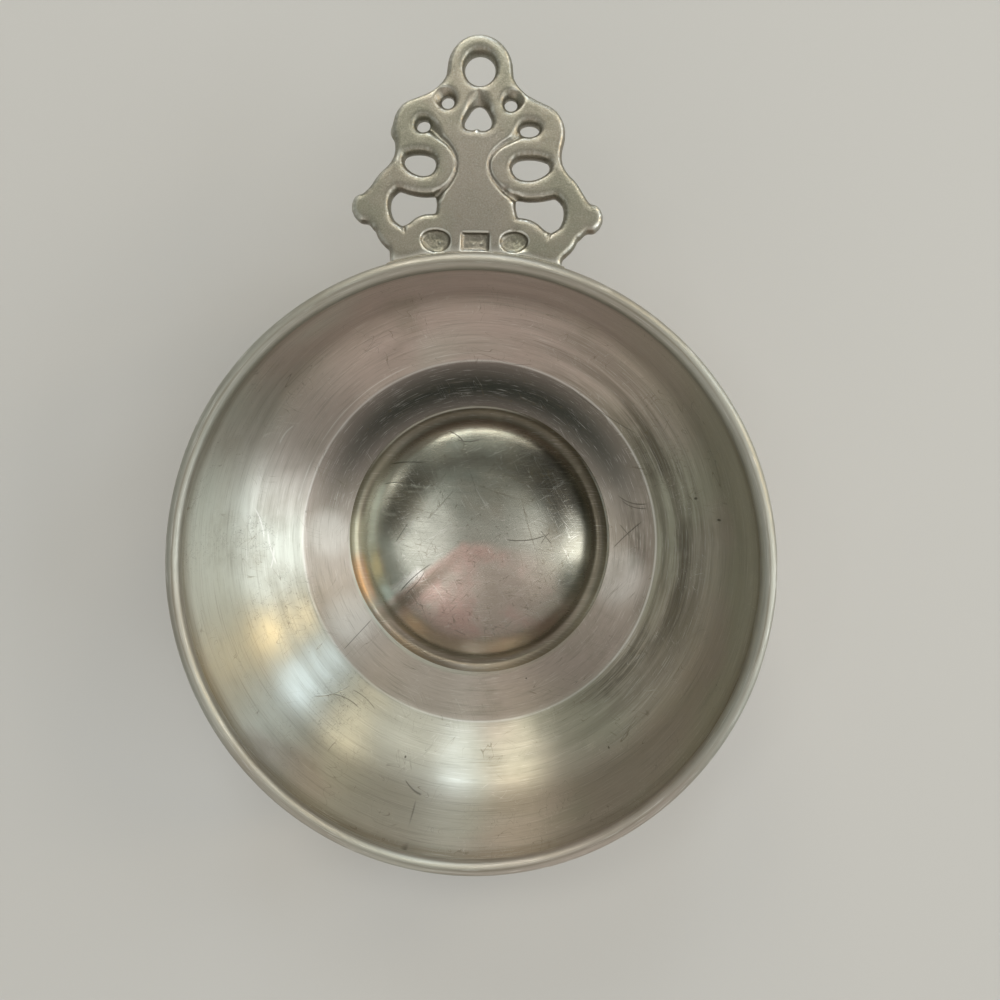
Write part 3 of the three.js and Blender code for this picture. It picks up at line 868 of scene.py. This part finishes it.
def wall_colour(f, r, bands, brush, tint, stain):
    """The side is painted paler on the left, where it mirrors the lamps, and darker olive on the right,
    as painted shade. Under the handle it is rosy, partly its own tint and partly a painted reflection.
    """
    # Painted light on the left, painted shade on the right, and a partly painted rosy reflection under
    # the handle
    colour = f.mix(r.towards(180, 100) * 0.9, PLAIN, BRIGHT)
    colour = f.mix(r.towards(90, 95) * tint.step(0.3, 0.55) * 0.85, colour, (0.56, 0.455, 0.415, 1))
    colour = f.mix(r.towards(-15, 105) * 0.9, colour, OLIVE)
    colour = f.mix(tint.step(0.50, 0.64) * 0.5, colour, ROSY)
    # The flat floor is rosy, with painted shade towards the handle
    floor = r.between(34.4, FLOOR_RADIUS / MM, 0.5) * (1 - r.height.step(4.2, 5.2))
    colour = f.mix(floor * 0.7, colour, (0.54, 0.47, 0.43, 1))
    middle = 0.55 + 0.45 * r.radius.near(40.5, 6.5)
    colour = f.mix(floor * r.towards(88, 100) ** 0.7 * middle * 0.97, colour, (0.06, 0.068, 0.058, 1))
    # Smudges along the rings, strongest on the right
    smudge = bands.step(0.40, 0.60) * r.between(46, 58, 5) * (0.1 + 0.85 * r.towards(8, 80))
    colour = f.mix(smudge * 0.85, colour, (0.20, 0.18, 0.14, 1))
    rubbed = (0.35 + 0.65 * brush.step(0.38, 0.6)) * stain.step(0.36, 0.58)
    for azimuth, reach, radius, width in SMUDGES:
        spread = r.towards(azimuth, reach) * r.radius.near(radius, width)
        colour = f.mix(spread * rubbed * 0.9, colour, (0.15, 0.135, 0.105, 1))
    # Painted highlights on the floor
    for x, y, reach in FLOOR_HIGHLIGHTS:
        colour = f.mix(floor * r.spot(x, y, reach) * 0.5, colour, SHINE)
    # Painted shadow in the corner under the bead, and a turned line where the side leaves the floor
    corner = r.height.step(35.0, 41.0) * (1 - r.radius.step(62.2, 62.6))
    colour = f.mix(corner * (0.3 + 0.45 * bands.step(0.35, 0.6)), colour, (0.20, 0.17, 0.11, 1))
    edge = r.radius.near(FLOOR_RADIUS / MM + 0.15, 0.4) * (1 - r.height.step(6.0, 8.0))
    colour = f.mix(edge * 0.6, colour, SHINE)
    second = r.radius.near(48.6, 0.22) * r.towards(130, 55) * brush.step(0.35, 0.5)
    return f.mix(second * 0.6, colour, SHINE)


def turned_pewter(name, zone):
    """Pewter that was turned and brushed along its rings, and then worn, stained and scratched, with
    light and shade painted into its colour.
    """
    f = Finish(name)
    on_boss = zone == "boss"
    r = Rings(f, BOWL_AXIS + BOSS_SHIFT if on_boss else BOWL_AXIS)
    if on_boss:
        hairs = r.rubs(5, 0.2)
        brush = r.rubs(9, 0.6)
        bands = r.rubs(12, 3.0)
    else:
        hairs = r.streaks(7, 0.2, detail=3.0, roughness=0.62)
        brush = r.streaks(16, 0.55, detail=3.0)
        bands = r.streaks(60, 4.2, detail=3.0)
    stain = f.noise(r.point, 0.045, detail=4.0, roughness=0.6)
    tint = f.noise(r.point, 0.021, detail=2.0)
    often = 0.62 if on_boss else 0.43
    strays = any_of([loose_scratches(f, r.point, turn, 0.75, often) for turn in (20, 75, 140)])
    glints = any_of([loose_scratches(f, r.point, turn, 1.1, often) for turn in (33, 118)])
    if on_boss:
        colour = boss_colour(f, r, bands, stain)
    elif zone == "bead":
        colour = bead_colour(f, r, bands, tint)
    elif zone == "outside":
        colour = outside_colour(f, r, bands, tint)
    else:
        colour = wall_colour(f, r, bands, brush, tint, stain)
    colour = f.mix(stain.step(0.52, 0.72) * 0.35, colour, (0.30, 0.275, 0.21, 1))
    # Brush marks and hairs, fainter on the polished boss
    fine = 0.5 if on_boss else 1.0
    colour = f.mix(brush.step(0.52, 0.72) * 0.32 * fine, colour, (0.24, 0.225, 0.18, 1))
    colour = f.mix(hairs.step(0.56, 0.72) * 0.34 * fine, colour, (0.20, 0.19, 0.155, 1))
    colour = f.mix((1 - hairs.step(0.3, 0.44)) * 0.4 * fine, colour, SHINE)
    if on_boss:
        dome = 1 - r.radius.step(25.0, 28.5)
        strays = strays * dome
        glints = glints * dome
    if zone != "bead":
        colour = f.mix(strays * 0.5, colour, GRIME_AND_SHADE)
        colour = f.mix(glints * 0.3, colour, SHINE)
    depth = strays * 0.5
    marks = {"wall": DEEP_SCRATCHES, "boss": BOSS_SCRATCHES}.get(zone)
    if marks:
        deep = any_of([r.scratch(*mark) for mark in marks])
        colour = f.mix(deep * (0.85 if on_boss else 0.65), colour, SOOT_AND_SHADE)
        depth = depth.larger(deep)
    if zone == "wall":
        colour = f.mix(any_of([r.scratch(*mark) for mark in PALE_SCRATCHES]) * 0.6, colour, SHINE)
        cracks = f.noise(r.point, 0.42, detail=3.0, roughness=0.6).near(0.5, 0.012)
        cracks = cracks * any_of([r.spot(*place) for place in CRAZED])
        colour = f.mix(cracks * 0.5, colour, SOOT_AND_SHADE)
        pits = any_of([r.spot(*pit) for pit in DARK_PITS])
        colour = f.mix(pits * 0.85, colour, SOOT_AND_SHADE)
        depth = depth.larger(pits)
    base, turning, relief = SURFACES[zone]
    roughness = base + (hairs - 0.5) * 0.14 + (bands - 0.5) * 0.16 + (stain - 0.5) * 0.12
    if on_boss:
        roughness = roughness + r.radius.step(29.0, 32.0) * 0.14
    normal = f.bump(hairs * 0.6 + brush * 0.4 - depth * 1.5, relief, 0.06 * MM)
    return f.metal(colour, roughness, normal, Anisotropic=turning, Anisotropic_Rotation=0.25)


def cast_pewter(name):
    """Cast pewter, matt and fine grained, with dark grime in its hollows, painted shade on walls that
    face away from the light, and pale worn edges that carry painted highlights.
    """
    f = Finish(name)
    point = f.place((0, HANDLE_MIDDLE, 0))
    x, y, height = f.parts_of(point)
    relief = f.node("Attribute", {"attribute_name": "relief"}, output=2)
    edge = f.node("Attribute", {"attribute_name": "edge"}, output=2)
    grime_and_shade = f.node("Attribute", {"attribute_name": "grime_and_shade"}, output=2)
    struck = f.node("Attribute", {"attribute_name": "struck"}, output=2)
    grain = f.noise(point, 3.2, detail=4.0, roughness=0.7)
    cloud = f.noise(point, 0.13, detail=3.0)
    dirt = f.noise(point, 0.55, detail=4.0, roughness=0.65)
    crust = f.noise(f.vector(x + y, y * 0.6 - x * 0.6, height), 0.9, detail=4.0, roughness=0.6)

    # The metal itself, browner on the stem, with a pale and dark grain
    stem = (1 - x.size().step(3.0, 9.0)) * (1 - y.step(2, 9))
    colour = f.mix(cloud.step(0.40, 0.62), (0.27, 0.262, 0.21, 1), (0.315, 0.29, 0.24, 1))
    colour = f.mix(stem * 0.7, colour, (0.30, 0.27, 0.24, 1))
    colour = f.mix(grain.step(0.50, 0.66) * 0.35, colour, (0.15, 0.145, 0.11, 1))
    colour = f.mix((1 - grain.step(0.34, 0.50)) * 0.25, colour, (0.52, 0.52, 0.47, 1))
    # Pale where the metal stands out, partly wear and partly painted highlights on the edges, and dark
    # where dirt has stayed and where shade is painted
    worn_and_edge_shine = (relief.step(0.20, 0.46) * 0.7).larger(edge.step(0.022, 0.05))
    colour = f.mix(worn_and_edge_shine * 0.7, colour, (0.74, 0.74, 0.68, 1))
    dirt_and_shade = grime_and_shade * (0.5 + 0.5 * dirt.step(0.35, 0.6))
    colour = f.mix(dirt_and_shade * 0.92, colour, (0.055, 0.06, 0.035, 1))
    colour = f.mix(dirt.step(0.60, 0.76) * 0.35, colour, (0.22, 0.17, 0.11, 1))
    # The marks' floors are dark with dirt, and darker towards their upper right, where the lean deepens
    # them: painted shade
    colour = f.mix(struck * (0.5 + 0.5 * crust.step(0.36, 0.70)) * 0.45, colour, (0.10, 0.10, 0.065, 1))

    roughness = 0.40 + (grain - 0.5) * 0.3 + grime_and_shade * 0.2 - worn_and_edge_shine * 0.08
    normal = f.bump(grain * 0.7 + dirt * 0.6 + crust * struck * 2, 0.4, 0.12 * MM)
    return f.metal(colour, roughness, normal)


# Light, floor and camera


TABLE_SIZE = 6
LAMP_DISTANCE = 2.4


def studio_floor():
    """A pale table under the bowl, paler far off, where the lamps no longer light it."""
    bpy.ops.object.select_all(action="DESELECT")
    bpy.ops.mesh.primitive_plane_add(size=TABLE_SIZE, location=(0, 0, 0))
    floor = bpy.context.active_object
    floor.name = "floor"
    f = Finish("pale_floor")
    x, y, _ = f.parts_of(f.place())
    far = ((x * x + y * y) ** 0.5).step(250, 900)
    colour = f.mix(far, (0.54, 0.54, 0.535, 1), (0.93, 0.93, 0.92, 1))
    shader = f.node("BsdfDiffuse", inputs={"Color": colour})
    f.node("OutputMaterial", inputs={"Surface": shader})
    floor.data.materials.append(f.material)


# Soft lamps round the bowl: name, azimuth from +X towards +Y and elevation in degrees, width and
# height as angles in degrees, radiance and colour. They mirror as tinted lights in the metal, the low
# ones in the side and the high ones on the boss.
LAMPS = [
    ("window", 346, 26, 28, 26, 2.95, (0.93, 0.98, 1.0)),
    ("window_top", 346, 58, 16, 23, 3.0, (1.0, 0.98, 0.94)),
    ("window_amber", 13, 24, 7, 20, 8.2, (1.0, 0.69, 0.31)),
    ("window_blue", 30, 24, 11, 20, 6.2, (0.76, 0.88, 1.0)),
    ("window_straw", 50, 24, 11, 20, 4.4, (1.0, 0.83, 0.56)),
    ("door_blue", 89, 25, 10, 20, 6.4, (0.76, 0.88, 1.0)),
    ("door_warm", 107, 25, 14, 20, 5.0, (1.0, 0.91, 0.74)),
    ("door_top_right", 68, 51, 14, 7, 6.4, (1.0, 0.96, 0.86)),
    ("door_top", 91, 51, 14, 7, 6.4, (1.0, 0.96, 0.86)),
    ("door_top_left", 114, 51, 14, 7, 6.4, (1.0, 0.96, 0.86)),
    ("shade_left", 165, 53, 10, 5, 4.0, (1.0, 0.98, 0.93)),
    ("ceiling_left", 220, 70, 20, 14, 1.2, (1.0, 0.97, 0.94)),
    ("ceiling_right", 316, 75, 10, 14, 1.0, (1.0, 0.93, 0.90)),
    ("room", 264, 30, 70, 30, 0.75, (1.0, 0.87, 0.80)),
]


def soft_lamp(name, azimuth, elevation, wide, high, radiance, colour):
    """An area lamp that looks at the bowl."""
    lamp = bpy.data.lights.new(name, "AREA")
    lamp.shape = "RECTANGLE"
    lamp.size = 2 * LAMP_DISTANCE * math.tan(math.radians(wide / 2))
    lamp.size_y = 2 * LAMP_DISTANCE * math.tan(math.radians(high / 2))
    lamp.energy = radiance * math.pi * lamp.size * lamp.size_y
    lamp.color = colour
    rig = bpy.data.objects.new(name, lamp)
    bpy.context.scene.collection.objects.link(rig)
    across = math.radians(azimuth)
    up = math.radians(elevation)
    direction = Vector((math.cos(across) * math.cos(up), math.sin(across) * math.cos(up), math.sin(up)))
    rig.location = BOWL_AXIS + direction * LAMP_DISTANCE
    rig.rotation_euler = direction.to_track_quat("Z", "Y").to_euler()
    rig.visible_camera = False


def studio_world():
    """A pale surround, darker right overhead, a little green over the handle and rosy over the bowl."""
    world = bpy.data.worlds.new("surround")
    bpy.context.scene.world = world
    f = Finish("surround", world)
    direction = f.node("TexCoord", output="Generated")
    x, y, z = f.parts_of(direction)
    # The dark patch lies where the eye would be, and mirrors in the flat floor
    overhead = (z * 0.993 + y * 0.10 - x * 0.06).step(0.985, 0.998)
    rosy = (z * 0.93 - y * 0.36).step(0.93, 0.99)
    colour = f.mix(z.step(-0.1, 0.9), (0.43, 0.43, 0.405, 1), (0.34, 0.35, 0.315, 1))
    colour = f.mix(rosy * 0.7, colour, (0.46, 0.39, 0.365, 1))
    colour = f.mix(overhead * 0.8, colour, (0.13, 0.145, 0.135, 1))
    background = f.node("Background", inputs={"Color": colour, "Strength": 1.0})
    f.node("OutputWorld", inputs={"Surface": background})


def photo_camera():
    """The photograph's own view: close over the bowl, a little towards the handle."""
    data = bpy.data.cameras.new("camera")
    data.sensor_width = 36
    data.lens = 24.84
    data.shift_x = 0.006
    data.shift_y = 0.002
    data.clip_start = 1 * MM
    camera = bpy.data.objects.new("camera", data)
    bpy.context.scene.collection.objects.link(camera)
    bead_middle = BOWL_AXIS + Vector((0, 0, RIM_HEIGHT - BEAD_HEIGHT / 2))
    camera.location = bead_middle + Vector((9.119, 30.984, 138.319)) * MM
    camera.rotation_euler = Euler([math.radians(a) for a in (-6.1454, 1.8628, 1.5995)], "XYZ")
    bpy.context.scene.camera = camera


def give(piece, node, slot, *materials):
    """A finished piece takes its materials, hides its CAD node and rides with the root body."""
    for material in materials:
        piece.data.materials.append(material)
    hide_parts(node)
    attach(piece, "root")


photo_camera()
studio_floor()
studio_world()
for lamp in LAMPS:
    soft_lamp(*lamp)

bowl = turned_bowl()
give(bowl, "bowl", "turned_pewter", *[turned_pewter("turned_" + zone, zone) for zone in ZONES])
give(cast_handle(), "handle", "cast_pewter", cast_pewter("cast_pewter"))
give(solder_bead(), "solder_seam", "solder", cast_pewter("soft_solder"))

bpy.context.scene.view_settings.view_transform = "Standard"
